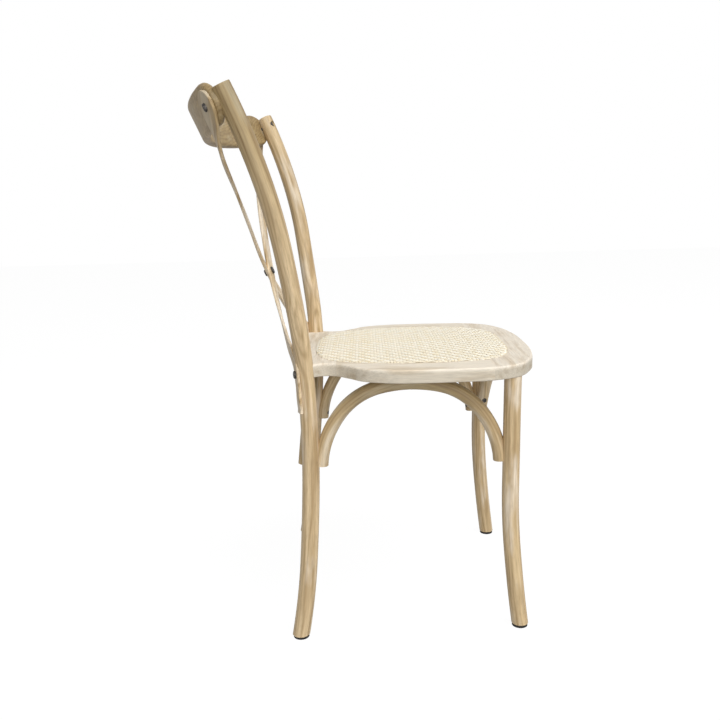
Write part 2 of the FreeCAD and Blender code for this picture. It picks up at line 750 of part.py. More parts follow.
# The whole chair
def make_chair():
    """Every piece of the chair by name, with its holes and joints cut."""
    post_paths = {side: post_path(side) for side in (1, -1)}
    leg_paths = {side: leg_path(side) for side in (1, -1)}
    posts = {side: make_post(side) for side in (1, -1)}
    legs = {side: make_leg(side) for side in (1, -1)}
    rail = make_rail()
    layer = (slat_thickness + slat_gap) / 2
    slats = {1: make_slat(1, -layer), -1: make_slat(-1, layer)}
    front, rear, left, right = make_seat_pieces()
    frame = make_insert_frame()

    # arches, coped onto the legs and posts
    legs_of = {"left": (leg_paths[1], post_paths[1]), "right": (leg_paths[-1], post_paths[-1]),
               "front": (leg_paths[1], leg_paths[-1]), "rear": (post_paths[1], post_paths[-1])}
    ends_of = {"left": side_arch_ends(1), "right": side_arch_ends(-1),
               "front": cross_arch_ends(leg_paths.values(), leg_radius,
                                        -front_arch_set_forward, -front_arch_lean),
               "rear": cross_arch_ends(post_paths.values(), post_radius,
                                       rear_arch_set_back, -rear_arch_lean)}
    lift_of = {"left": side_arch_screw_lift, "right": side_arch_screw_lift,
               "front": cross_arch_screw_lift, "rear": cross_arch_screw_lift}
    sink_of = {"left": arch_screw_head_height, "right": arch_screw_head_height,
               "front": 0, "rear": 0}
    round_posts = [rod(path, post_radius + cope_clearance) for path in post_paths.values()]
    round_legs = [rod(path, leg_radius + cope_clearance) for path in leg_paths.values()]
    arches, end_screws, top_screws = {}, [], []
    end_bores, top_bores = [], []
    for name, ends in ends_of.items():
        own_bores = []
        for index in (0, 1):
            seat, way = arch_end_screw(ends, legs_of[name], lift_of[name], sink_of[name], index)
            end_screws.append(fastener(seat, way, arch_screw_radius, arch_screw_length,
                                       arch_screw_head_radius, arch_screw_head_height))
            own_bores += screw_bores(seat, way, arch_screw_radius, arch_screw_length,
                                     arch_screw_head_radius)
            end_bores.append((arch_screw_radius, arch_screw_length + hole_clearance, seat, way))
        seat = arch_top_screw_seat(ends)
        top_screws.append(fastener(seat, UP, arch_screw_radius, arch_top_screw_length,
                                   arch_screw_head_radius, arch_screw_head_height))
        own_bores += screw_bores(seat, UP, arch_screw_radius, arch_top_screw_length,
                                 arch_screw_head_radius)
        top_bores.append((arch_screw_radius, arch_top_screw_length + hole_clearance, seat, UP))
        arches[name] = bored(coped(make_arch(ends), round_posts + round_legs), own_bores)

    # bolts that hold the rail and the slats' tabs to the posts
    rail_bolts, rail_nuts, post_bores, tab_bores = [], [], [], []
    for side in (1, -1):
        centre = Vector(side * rail_bolt_reach, post_at_rail.y, post_at_rail.z)
        head_seat = centre - rail_back * rail_bolt_spot_depth
        tab, tab_out = rail_rear_at(centre.x, slat_thickness)
        nut_seat = centre + rail_back * ((tab - centre).dot(rail_back) - rail_nut_sink)
        nut_tall = 2 * rail_nut_sink + nut_seat_depth
        reach = (nut_seat - head_seat).dot(rail_back) + nut_tall / 2
        rail_bolts.append(fastener(head_seat, rail_back, bolt_radius, reach,
                                   bolt_head_radius, bolt_head_height))
        rail_nuts.append(nut(nut_seat, rail_back, nut_tall, nut_tall / 2))
        post_bores += screw_bores(head_seat, rail_back, bolt_radius, reach, bolt_head_radius)
        tab_bores.append((bolt_radius, reach, head_seat, rail_back))
        tab_bores.append((nut_radius, overrun, nut_seat, rail_back))

    # bolts that hold the slats' feet and the posts to the seat
    seat_bolts, seat_bores, foot_spots = [], [], []
    for side in (1, -1):
        out = seat_bolt_way(side)
        face = place_at_height(post_paths[side], slat_bolt_height)[0]
        face = face + out * (post_radius - slat_housing + slat_thickness)
        reach = 2 * post_radius - slat_housing + slat_thickness + seat_bolt_grip
        seat_bolts.append(fastener(face, out * -1, bolt_radius, reach,
                                   bolt_head_radius, bolt_head_height))
        seat_bores.append((bolt_radius, reach + hole_clearance, face, out * -1))
        foot_spots.append((bolt_head_radius, overrun, face, out))

    # the bolt where the slats cross
    crossing = Vector(0, crossing_reach, crossing_height)
    half_stack = slat_thickness + slat_gap / 2
    cross_seat = crossing - rail_back * half_stack
    cross_reach = 2 * half_stack + nut_height / 2
    cross_bolt = fastener(cross_seat, rail_back, bolt_radius, cross_reach,
                          bolt_head_radius, bolt_head_height)
    cross_nut_seat = crossing + rail_back * half_stack
    cross_nut = nut(cross_nut_seat, rail_back, nut_height, nut_height / 2)
    cross_bores = screw_bores(cross_seat, rail_back, bolt_radius, cross_reach, bolt_head_radius)
    cross_bores.append((nut_radius, overrun, cross_nut_seat, rail_back))

    # screws under the ledge, dowels in the seat's joints, glides under the feet
    insert_bores = [(insert_screw_radius, insert_screw_length + hole_clearance, seat, UP)
                    for seat in insert_screw_seats()]
    dowel_bores = [(dowel_radius, dowel_length, start, ALONG_Y) for start in seat_dowel_starts()]
    glide_bores = [(glide_nail_radius, glide_nail_length + hole_clearance,
                    place_at_height(path, glide_height)[0], UP)
                   for path in list(post_paths.values()) + list(leg_paths.values())]
    mortises = [(tenon_radius, tenon_length + hole_clearance,
                 place_at_height(path, seat_underside)[0], UP) for path in leg_paths.values()]

    pieces = {}
    for side, name in ((1, "left"), (-1, "right")):
        post = largest(posts[side].cut(rail).cut(slats[-side]))
        pieces["rear_post_" + name] = bored(post, post_bores + seat_bores + end_bores + glide_bores)
        pieces["front_leg_" + name] = bored(legs[side], end_bores + glide_bores)
        pieces["side_arch_" + name] = arches[name]
    pieces["front_arch"] = arches["front"]
    pieces["rear_arch"] = arches["rear"]
    pieces["top_rail"] = bored(rail, tab_bores)
    slat_bores = tab_bores + seat_bores + foot_spots + cross_bores
    pieces["cross_slat_front"] = bored(slats[1], slat_bores)
    pieces["cross_slat_rear"] = bored(slats[-1], slat_bores)
    pieces["seat_front_rail"] = bored(front, mortises + dowel_bores + top_bores)
    rear = coped(rear, round_posts + list(slats.values()))
    pieces["seat_rear_rail"] = bored(rear, seat_bores + dowel_bores + top_bores)
    pieces["seat_side_rail_left"] = bored(left, dowel_bores + top_bores + insert_bores)
    pieces["seat_side_rail_right"] = bored(right, dowel_bores + top_bores + insert_bores)
    pieces["insert_frame"] = bored(frame, insert_bores)
    pieces["rattan_panel"] = make_panel()
    pieces["rail_bolts"] = Part.makeCompound(rail_bolts)
    pieces["rail_nuts"] = Part.makeCompound(rail_nuts)
    pieces["cross_bolt"] = cross_bolt
    pieces["cross_nut"] = cross_nut
    pieces["seat_bolts"] = Part.makeCompound(seat_bolts)
    pieces["arch_end_screws"] = Part.makeCompound(end_screws)
    pieces["arch_top_screws"] = Part.makeCompound(top_screws)
    pieces["seat_dowels"] = Part.makeCompound(
        [cylinder(dowel_radius, dowel_length, start, ALONG_Y) for start in seat_dowel_starts()])
    pieces["insert_screws"] = Part.makeCompound(
        [fastener(seat, UP, insert_screw_radius, insert_screw_length,
                  insert_screw_head_radius, insert_screw_head_height)
         for seat in insert_screw_seats()])
    pieces["glides"] = Part.makeCompound(
        [make_glide(path) for path in list(post_paths.values()) + list(leg_paths.values())])
    return pieces


def main():
    """Make the chair, move its origin under the middle of its box, and write each piece."""
    pieces = make_chair()
    box = Part.makeCompound(list(pieces.values())).optimalBoundingBox(False, False)
    to_middle = ALONG_Y * -(box.YMin + box.YMax) / 2
    os.makedirs("parts", exist_ok=True)
    for name, shape in pieces.items():
        shape.translated(to_middle).exportStep("parts/" + name + ".step")


if __name__ == "__main__":
    main()
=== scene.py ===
"""Looks of a bentwood cross-back chair with a woven cane seat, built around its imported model."""

import logging
import math
from dataclasses import dataclass
from enum import Enum
from typing import Any, Optional, Union

import bmesh
import bpy
from mathutils import Matrix, Vector
from mathutils.bvhtree import BVHTree


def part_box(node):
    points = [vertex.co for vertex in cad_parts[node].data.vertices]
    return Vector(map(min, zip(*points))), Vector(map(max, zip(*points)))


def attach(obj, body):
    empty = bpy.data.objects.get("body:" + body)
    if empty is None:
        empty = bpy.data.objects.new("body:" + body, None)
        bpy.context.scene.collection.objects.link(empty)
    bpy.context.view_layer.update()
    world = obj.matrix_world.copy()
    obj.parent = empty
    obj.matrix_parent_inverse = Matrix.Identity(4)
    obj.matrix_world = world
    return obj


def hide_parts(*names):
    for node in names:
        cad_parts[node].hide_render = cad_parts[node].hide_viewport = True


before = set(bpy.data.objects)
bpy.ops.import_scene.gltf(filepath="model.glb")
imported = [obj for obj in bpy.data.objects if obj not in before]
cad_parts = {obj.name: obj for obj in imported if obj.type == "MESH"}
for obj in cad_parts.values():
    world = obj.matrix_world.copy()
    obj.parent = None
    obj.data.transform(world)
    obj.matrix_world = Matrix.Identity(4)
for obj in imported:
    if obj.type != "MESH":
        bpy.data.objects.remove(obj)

LOG = logging.getLogger("chair")
MM = 0.001
MERGED = 1e-6  # points nearer than this, in metres, are one
WHITE = (1.0, 1.0, 1.0, 1.0)
Colour = tuple[float, float, float]
Tint = Union[Colour, bpy.types.NodeSocket]
Number = Union["Value", float]
Place = tuple[float, float, float]
Stations = tuple[Place, ...]


# Node trees
class Value:
    """A number carried by a socket, with arithmetic that adds Math nodes."""

    def __init__(self, plan: "Plan", socket: bpy.types.NodeSocket) -> None:
        """Keep the tree, and the output socket that carries the number."""
        self.plan = plan
        self.socket = socket

    def __add__(self, other: Number) -> "Value":
        """This plus other."""
        return self.plan.math("ADD", self, other)

    def __radd__(self, other: Number) -> "Value":
        """Other plus this."""
        return self.plan.math("ADD", other, self)

    def __sub__(self, other: Number) -> "Value":
        """This minus other."""
        return self.plan.math("SUBTRACT", self, other)

    def __rsub__(self, other: Number) -> "Value":
        """Other minus this."""
        return self.plan.math("SUBTRACT", other, self)

    def __mul__(self, other: Number) -> "Value":
        """This times other."""
        return self.plan.math("MULTIPLY", self, other)

    def __rmul__(self, other: Number) -> "Value":
        """Other times this."""
        return self.plan.math("MULTIPLY", other, self)

    def __truediv__(self, other: Number) -> "Value":
        """This divided by other."""
        return self.plan.math("DIVIDE", self, other)

    def __rtruediv__(self, other: Number) -> "Value":
        """Other divided by this."""
        return self.plan.math("DIVIDE", other, self)

    def __mod__(self, other: Number) -> "Value":
        """The remainder of this over other, never negative."""
        return self.plan.math("FLOORED_MODULO", self, other)

    def __lt__(self, other: Number) -> "Value":
        """One where this is less than other, else nought."""
        return self.plan.math("LESS_THAN", self, other)

    def __pow__(self, other: Number) -> "Value":
        """This to the power of other."""
        return self.plan.math("POWER", self, other)

    def floor(self) -> "Value":
        """The whole number at or below this."""
        return self.plan.math("FLOOR", self)

    def sine(self) -> "Value":
        """The sine of this, in radians."""
        return self.plan.math("SINE", self)

    def root(self) -> "Value":
        """The square root of this."""
        return self.plan.math("SQRT", self)

    def angle_from(self, other: Number) -> "Value":
        """The angle whose tangent is this divided by other."""
        return self.plan.math("ARCTAN2", self, other)

    def eased(self, low: float, high: float) -> "Value":
        """A smooth step from nought at low to one at high.

        Args:
            low: where the step begins.
            high: where the step ends.

        Returns:
            The eased value, between nought and one.
        """
        made = self.plan.node("ShaderNodeMapRange", {"interpolation_type": "SMOOTHSTEP"},
                              {"Value": self, "From Min": low, "From Max": high})
        return Value(self.plan, made.outputs[0])


class Plan:
    """Adds nodes to one tree."""

    def __init__(self, tree: bpy.types.NodeTree) -> None:
        """Keep the node tree to add to."""
        self.tree = tree

    def node(self, kind: str, settings: Optional[dict[str, Any]] = None,
             feeds: Optional[dict[Union[str, int], Any]] = None) -> bpy.types.Node:
        """Add any node.

        Args:
            kind: the node's type.
            settings: its own properties, and "bend" for the points of its curve.
            feeds: a number, vector, socket or Value for each input, by name or place.

        Returns:
            The new node.
        """
        made = self.tree.nodes.new(kind)
        for name, setting in (settings or {}).items():
            if name == "bend":
                self._bend(made, setting)
            else:
                setattr(made, name, setting)
        for key, feed in (feeds or {}).items():
            if isinstance(feed, Value):
                feed = feed.socket
            if isinstance(feed, bpy.types.NodeSocket):
                self.tree.links.new(feed, made.inputs[key])
            else:
                made.inputs[key].default_value = feed
        return made

    @staticmethod
    def _bend(made: bpy.types.Node, points: list[tuple[float, float]]) -> None:
        """Put points on a curve node, whose curve starts with one at each end.

        Args:
            made: the curve node.
            points: pairs of a value and a result, each from nought to one.
        """
        curve = made.mapping.curves[0]
        curve.points[0].location = points[0]
        curve.points[1].location = points[-1]
        for point in points[1:-1]:
            curve.points.new(*point)
        made.mapping.update()

    def math(self, operation: str, *numbers: Number) -> Value:
        """The result of a Math node with this operation and these inputs."""
        made = self.node("ShaderNodeMath", {"operation": operation}, dict(enumerate(numbers)))
        return Value(self, made.outputs[0])

    def along(self, value: Value, points: list[tuple[float, float]]) -> Value:
        """Look a value up on a smooth curve through points.

        Args:
            value: the value to look up.
            points: pairs of a value and a result, rising in value.

        Returns:
            The result.
        """
        low, high = points[0][0], points[-1][0]
        results = [result for _, result in points]
        least, most = min(results), max(results)
        bend = [((at - low) / (high - low), (result - least) / (most - least))
                for at, result in points]
        made = self.node("ShaderNodeFloatCurve", {"bend": bend},
                         {"Value": (value - low) / (high - low)})
        return Value(self, made.outputs[0]) * (most - least) + least

    def vector(self, x: Number, y: Number, z: Number) -> bpy.types.NodeSocket:
        """Put three numbers together."""
        return self.node("ShaderNodeCombineXYZ", feeds={0: x, 1: y, 2: z}).outputs[0]

    def parts(self, vector: bpy.types.NodeSocket) -> tuple[Value, Value, Value]:
        """Take a vector apart into its three numbers."""
        given = self.node("ShaderNodeSeparateXYZ", feeds={0: vector}).outputs
        return Value(self, given[0]), Value(self, given[1]), Value(self, given[2])

    def seen(self) -> Value:
        """Tell the rays that look from those that only light.

        Returns:
            One for a ray from the camera, metal or glass, and nought for the rest.
        """
        rays = self.node("ShaderNodeLightPath").outputs
        camera, gloss, glass = (Value(self, rays[name]) for name in (
            "Is Camera Ray", "Is Glossy Ray", "Is Transmission Ray"))
        return self.math("MAXIMUM", camera, self.math("MAXIMUM", gloss, glass))


class Shader(Plan):
    """The tree of one material."""

    def __init__(self, name: str) -> None:
        """Start a material.

        Args:
            name: the material's name.
        """
        self.material = bpy.data.materials.new(name)
        self.material.use_nodes = True
        super().__init__(self.material.node_tree)
        self.surface = next(made for made in self.tree.nodes if made.type == "BSDF_PRINCIPLED")

    def place(self) -> tuple[Value, Value, Value]:
        """Where a point of the surface is, in metres."""
        return self.parts(self.node("ShaderNodeTexCoord").outputs["Object"])

    def noise(self, vector: bpy.types.NodeSocket, detail: float = 2.0) -> Value:
        """Cloudy noise, about nought to one, with cells about one unit wide.

        Args:
            vector: where it is read.
            detail: how many finer layers it has.

        Returns:
            The noise.
        """
        made = self.node("ShaderNodeTexNoise", feeds={"Vector": vector, "Scale": 1.0,
                                                      "Detail": detail, "Roughness": 0.5})
        return Value(self, made.outputs["Fac"])

    def chance(self, number: Number) -> Value:
        """A fixed random number between nought and one for each whole number."""
        made = self.node("ShaderNodeTexWhiteNoise", {"noise_dimensions": "1D"}, {"W": number})
        return Value(self, made.outputs["Value"])

    def blend(self, share: Number, first: Tint, second: Tint,
              way: str = "MIX") -> bpy.types.NodeSocket:
        """Mix two colours.

        Args:
            share: how much of the second.
            first: a colour or a socket.
            second: a colour or a socket.
            way: how the second acts on the first.

        Returns:
            The mixed colour.
        """
        tints = [(*tint, 1.0) if isinstance(tint, tuple) else tint for tint in (first, second)]
        made = self.node("ShaderNodeMix", {"data_type": "RGBA", "blend_type": way},
                         {0: share, 6: tints[0], 7: tints[1]})
        return made.outputs[2]

    def shaded(self, colour: Tint, share: Value) -> bpy.types.NodeSocket:
        """A colour made darker or lighter by a share of one."""
        return self.blend(1.0, colour, self.vector(share, share, share), "MULTIPLY")

    def finish(self, colour: bpy.types.NodeSocket, roughness: Value, height: Value,
               depth: float) -> bpy.types.Material:
        """Feed the surface.

        Args:
            colour: its colour.
            roughness: its roughness.
            height: its relief, nought to one.
            depth: the relief's depth, in metres.

        Returns:
            The material.
        """
        relief = self.node("ShaderNodeBump", feeds={"Strength": 1.0, "Distance": depth,
                                                    "Height": height})
        for key, socket in (("Base Color", colour), ("Roughness", roughness.socket),
                            ("Normal", relief.outputs[0])):
            self.tree.links.new(socket, self.surface.inputs[key])
        return self.material


# How the grain runs
class Axis(Enum):
    """A level direction of the chair."""

    ACROSS = "X"
    DEEP = "Y"


class Grain:
    """Turns a place into two distances across the grain and one along it."""

    def lines(self, shader: Shader) -> tuple[Value, Value, Value]:
        """Two distances across the grain and the distance along it, in metres."""
        raise NotImplementedError


@dataclass(frozen=True)
class RodGrain(Grain):
    """Grain that follows an upright bent rod.

    Attributes:
        stations: height, place along X and place along Y of the rod's middle.
    """

    stations: Stations

    def lines(self, shader: Shader) -> tuple[Value, Value, Value]:
        """Measure from the rod's middle line.

        Args:
            shader: the tree to add to.

        Returns:
            The distances from the middle line along X and along Y, and the height.
        """
        x, y, z = shader.place()
        middle_x = shader.along(z, [(high, across) for high, across, _ in self.stations])
        middle_y = shader.along(z, [(high, deep) for high, _, deep in self.stations])
        return x - middle_x, y - middle_y, z


@dataclass(frozen=True)
class ArchGrain(Grain):
    """Grain that follows an arch between two legs.

    Attributes:
        run: the direction in which the arch spans.
        middle: the middle of its span along that direction.
        spring: the height of its ends.
        half_span: half its span.
        rise: its rise above its ends.
    """

    run: Axis
    middle: float
    spring: float
    half_span: float
    rise: float

    def lines(self, shader: Shader) -> tuple[Value, Value, Value]:
        """Measure round the arch.

        Args:
            shader: the tree to add to.

        Returns:
            The distance from the arch's centre, its level thickness, and the way round it.
        """
        x, y, z = shader.place()
        out, side = (x, y) if self.run is Axis.ACROSS else (y, x)
        level = (out - self.middle) * (self.rise / self.half_span)
        up = z - self.spring
        reach = (level * level + up * up).root()
        return reach, side, up.angle_from(level) * self.rise


@dataclass(frozen=True)
class BowGrain(Grain):
    """Grain that runs along a board bowed to the rear, with rings that arch on its face.

    Attributes:
        half_length: half the board's length.
        bow: how far its middle stands behind its ends.
    """

    half_length: float
    bow: float

    def lines(self, shader: Shader) -> tuple[Value, Value, Value]:
        """The height, the depth less what makes the rings arch, and the distance across."""
        x, y, z = shader.place()
        return z, y - x * x * (self.bow / self.half_length ** 2), x


@dataclass(frozen=True)
class StripGrain(Grain):
    """Grain that runs along a strip slanting up across the back.

    Attributes:
        slant: the strip's angle above the level, towards +X, in radians.
    """

    slant: float

    def lines(self, shader: Shader) -> tuple[Value, Value, Value]:
        """Measure along the slant.

        Args:
            shader: the tree to add to.

        Returns:
            The distance across the strip, the depth, and the distance along it.
        """
        x, y, z = shader.place()
        level, upright = math.cos(self.slant), math.sin(self.slant)
        return z * level - x * upright, y, x * level + z * upright


@dataclass(frozen=True)
class BoardGrain(Grain):
    """Grain that runs along a level board.

    Attributes:
        run: the direction of the grain.
    """

    run: Axis

    def lines(self, shader: Shader) -> tuple[Value, Value, Value]:
        """The two distances across the grain, and the distance along it."""
        x, y, z = shader.place()
        return (y, z, x) if self.run is Axis.ACROSS else (x, z, y)


# Finishes
@dataclass(frozen=True)
class Cells:
    """The size of one layer of cloudy noise, stretched along the grain.

    Attributes:
        wide: a cell's width, in metres.
        long: its length along the grain, in metres.
        detail: how many finer layers it has.
    """

    wide: float
    long: float
    detail: float = 2.0


@dataclass(frozen=True)
class OakFigure:
    """The layers of oak's figure. Shares run from nought to one.

    Attributes:
        wander: the noise that bends the growth rings.
        bands: the noise of broad bands.
        patches: the noise of patches of wash.
        flecks: the noise of short flecks.
        fibres: the noise of single fibres.
        pores: the noise of open pores.
        ring_lean: how much each distance across the grain counts towards the rings.
        ring_sway: how far the wandering noise moves the rings, in metres.
        ring_shade: how much darker growth shows in a ring.
        band_edges: where a dark band begins and ends in its noise.
        band_shade: how much darker growth shows in a band.
        pore_edges: where a pore begins and ends in its noise.
        pore_shade: how much darker growth shows in an open pore.
        pore_filled: how much less of it shows where the wash fills the pore.
        wash_edges: where the wash begins and ends in its noise, with nothing washed.
        wash_reach: how far these edges move with everything washed.
        wash_band: how much the bands count towards the wash.
        wash_cover: how much of the wood the wash hides.
        tones: the lightness of plain wood, and what a fibre and a fleck add to it.
        shade_tint: how much the painted shade takes from red, green and blue.
        roughness: the roughness of plain wood, and what a fibre and the wash add to it.
        relief: the relief of plain wood, and what a fibre, a ring and a pore add to it.
        depth: the relief's depth, in metres.
    """

    wander: Cells = Cells(0.045, 0.32)
    bands: Cells = Cells(0.0085, 0.16)
    patches: Cells = Cells(0.022, 0.11, 3.0)
    flecks: Cells = Cells(0.0026, 0.022)
    fibres: Cells = Cells(0.0011, 0.035, 3.0)
    pores: Cells = Cells(0.0009, 0.014)
    ring_lean: tuple[float, float] = (0.82, 0.57)
    ring_sway: float = 0.030
    ring_shade: float = 0.38
    band_edges: tuple[float, float] = (0.32, 0.68)
    band_shade: float = 0.58
    pore_edges: tuple[float, float] = (0.58, 0.70)
    pore_shade: float = 0.45
    pore_filled: float = 0.25
    wash_edges: tuple[float, float] = (0.86, 1.12)
    wash_reach: float = 0.5
    wash_band: float = 0.35
    wash_cover: float = 0.75
    tones: tuple[float, float, float] = (0.65, 0.34, 0.36)
    shade_tint: Colour = (1.0, 1.05, 1.24)
    roughness: tuple[float, float, float] = (0.42, 0.22, 0.08)
    relief: tuple[float, float, float, float] = (0.4, 0.6, 0.15, -0.5)
    depth: float = 0.00022


@dataclass(frozen=True)
class LimedOak:
    """Oak with a pale wash that stays in its open grain.

    Attributes:
        name: the finish's name.
        honey: the bare wood's colour.
        shade: the colour of its darker growth.
        lime: the colour of the wash.
        washed: how much of the surface the wash covers.
        ring: the distance between growth rings, in metres.
        height_shade: painted shade, how much darker the wood is made higher up; below nought it is
            painted light that makes it paler.
        shade_from: the height at which it starts to change, in metres.
        shade_to: the height from which it no longer changes, in metres.
        start: a number that sets one piece's pattern off from another's.
        figure: the layers of its figure.
    """

    name: str
    honey: Colour = (0.74, 0.56, 0.32)
    shade: Colour = (0.40, 0.27, 0.13)
    lime: Colour = (0.86, 0.76, 0.62)
    washed: float = 0.45
    ring: float = 0.0052
    height_shade: float = 0.0
    shade_from: float = 0.46
    shade_to: float = 0.86
    start: float = 0.0
    figure: OakFigure = OakFigure()

    def material(self, grain: Grain) -> bpy.types.Material:
        """Make the finish for one run of the grain.

        Args:
            grain: how the grain runs.

        Returns:
            The material.
        """
        shader = Shader(self.name)
        across, through, along = grain.lines(shader)
        figure = self.figure

        def cloud(cells: Cells) -> Value:
            """Noise with cells of one size."""
            place = across / cells.wide + self.start, through / cells.wide, along / cells.long
            return shader.noise(shader.vector(*place), cells.detail)

        def layered(parts: tuple[float, ...], *layers: Value) -> Value:
            """A first number, and each layer times its own."""
            return sum((layer * part for layer, part in zip(layers, parts[1:])), parts[0])

        lean = figure.ring_lean
        growth = (across * lean[0] + through * lean[1] + cloud(figure.wander) * figure.ring_sway
                  ) / self.ring
        ring = (growth * math.tau).sine() * 0.5 + 0.5
        band = cloud(figure.bands)
        fibre = cloud(figure.fibres)
        pore = cloud(figure.pores).eased(*figure.pore_edges)
        wash_edges = [edge - figure.wash_reach * self.washed for edge in figure.wash_edges]
        wash = (cloud(figure.patches) + band * figure.wash_band).eased(*wash_edges)

        dark = (ring ** 2.0 * figure.ring_shade
                + (1.0 - band).eased(*figure.band_edges) * figure.band_shade)
        limed = shader.blend(wash * figure.wash_cover, shader.blend(dark, self.honey, self.shade),
                             self.lime)
        tone = layered(figure.tones, fibre, cloud(figure.flecks))
        # Painted shade that deepens with height, tinted warm; where height_shade is below nought it
        # is painted light instead.
        shade_tint = tuple(1.0 - part * self.height_shade for part in figure.shade_tint)
        high = shader.place()[2].eased(self.shade_from, self.shade_to)
        lit = shader.blend(high, shader.shaded(limed, tone), shade_tint, "MULTIPLY")
        open_pore = pore * (figure.pore_shade - wash * figure.pore_filled)
        colour = shader.blend(open_pore, lit, self.shade)
        return shader.finish(colour, layered(figure.roughness, fibre, wash),
                             layered(figure.relief, fibre, ring, pore), figure.depth)


@dataclass(frozen=True)
class CaneStrip:
    """Split cane, with fine fibres along it and a tone of its own for each strip.

    Attributes:
        name: the finish's name.
        run: the direction of the strips.
        pitch: the distance from strip to strip, in metres.
        pale: the colour of most strips.
        straw: the colour of the yellower ones.
        root: the colour of the stains on them.
        drift: the width and length of a patch of one tone, in metres.
        drift_apart: how far apart the patches of two strips may be read, in patches.
        fibre: the width, length and depth of a fibre, in metres.
        stain: the width and length of a stain, in metres.
        stain_apart: how far apart the stains of two strips may be read, in stains.
        stain_edges: where a stain begins and ends in its noise.
        stain_share: how much of the root's colour a stain takes.
        own_share: how much a strip's own tone counts towards straw.
        drift_share: how much its patches count.
        straw_edges: where straw begins and ends in their sum.
        tones: the lightness of plain cane, and what a fibre adds to it.
        roughness: the roughness of plain cane, and what a fibre adds to it.
        depth: the relief's depth, in metres.
    """

    name: str
    run: Axis
    pitch: float
    pale: Colour
    straw: Colour
    root: Colour = (0.60, 0.47, 0.28)
    drift: tuple[float, float] = (0.03, 0.05)
    drift_apart: float = 40.0
    fibre: tuple[float, float, float] = (0.00035, 0.02, 0.002)
    stain: tuple[float, float] = (0.004, 0.009)
    stain_apart: float = 9.0
    stain_edges: tuple[float, float] = (0.66, 0.80)
    stain_share: float = 0.55
    own_share: float = 0.6
    drift_share: float = 0.7
    straw_edges: tuple[float, float] = (0.40, 1.10)
    tones: tuple[float, float] = (0.89, 0.22)
    roughness: tuple[float, float] = (0.42, 0.2)
    depth: float = 0.00012

    def material(self) -> bpy.types.Material:
        """Make the finish.

        Returns:
            The material.
        """
        shader = Shader(self.name)
        x, y, z = shader.place()
        across, along = (y, x) if self.run is Axis.ACROSS else (x, y)
        own = shader.chance((across / self.pitch).floor() + 0.5)
        drift = shader.noise(shader.vector(across / self.drift[0], along / self.drift[1],
                                           own * self.drift_apart))
        fibre = shader.noise(shader.vector(across / self.fibre[0], along / self.fibre[1],
                                           z / self.fibre[2]), 3.0)
        stain = shader.noise(shader.vector(across / self.stain[0], along / self.stain[1],
                                           own * self.stain_apart)).eased(*self.stain_edges)
        yellow = (own * self.own_share + drift * self.drift_share).eased(*self.straw_edges)
        lit = shader.shaded(shader.blend(yellow, self.pale, self.straw),
                            fibre * self.tones[1] + self.tones[0])
        colour = shader.blend(stain * self.stain_share, lit, self.root)
        roughness = fibre * self.roughness[1] + self.roughness[0]
        return shader.finish(colour, roughness, fibre, self.depth)


@dataclass(frozen=True)
class PlainFinish:
    """Metal or plastic with small uneven patches.

    Attributes:
        name: the finish's name.
        colour: its colour.
        worn: the colour of its rubbed patches.
        roughness: its roughness.
        metallic: one for bare metal, nought for none.
        patch: a rubbed patch's width, in metres.
        patch_edges: where a patch begins and ends in its noise.
        patch_share: how much of the worn colour it takes.
        patch_rough: how much rougher it is.
        grit: the width of its fine grit, in metres.
        depth: the grit's depth, in metres.
    """

    name: str
    colour: Colour
    worn: Colour
    roughness: float
    metallic: float
    patch: float = 0.003
    patch_edges: tuple[float, float] = (0.5, 0.75)
    patch_share: float = 0.6
    patch_rough: float = 0.2
    grit: float = 0.0004
    depth: float = 0.00004

    def material(self) -> bpy.types.Material:
        """Make the finish.

        Returns:
            The material.
        """
        shader = Shader(self.name)
        place = shader.place()
        patch = shader.noise(shader.vector(*(part / self.patch for part in place)), 3.0)
        grit = shader.noise(shader.vector(*(part / self.grit for part in place)))
        rubbed = patch.eased(*self.patch_edges) * self.patch_share
        colour = shader.blend(rubbed, self.colour, self.worn)
        shader.surface.inputs["Metallic"].default_value = self.metallic
        return shader.finish(colour, patch * self.patch_rough + self.roughness, grit, self.depth)


# Pieces
class Mesh:
    """Helpers for the pieces made here."""

    @staticmethod
    def piece(name: str, mesh: bpy.types.Mesh) -> bpy.types.Object:
        """Put a mesh into the scene.

        Args:
            name: the piece's name.
            mesh: its mesh.

        Returns:
            The piece.
        """
        made = bpy.data.objects.new(name, mesh)
        bpy.context.scene.collection.objects.link(made)
        return made

    @staticmethod
    def applied(piece: bpy.types.Object) -> None:
        """Turn what a piece's modifiers make into its own plain mesh.

        Args:
            piece: the piece, which loses its modifiers.
        """
        bpy.context.view_layer.update()
        shown = piece.evaluated_get(bpy.context.evaluated_depsgraph_get())
        plain = bpy.data.meshes.new_from_object(shown)
        piece.modifiers.clear()
        piece.data = plain


@dataclass
class Dressed:
    """A sub-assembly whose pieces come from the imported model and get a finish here."""

    def dress(self, node: str, material: bpy.types.Material) -> None:
        """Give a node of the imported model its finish.

        Args:
            node: the node's name.
            material: its finish.
        """
        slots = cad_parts[node].data.materials
        slots.clear()
        slots.append(material)
        LOG.info("%s: %s", node, material.name)


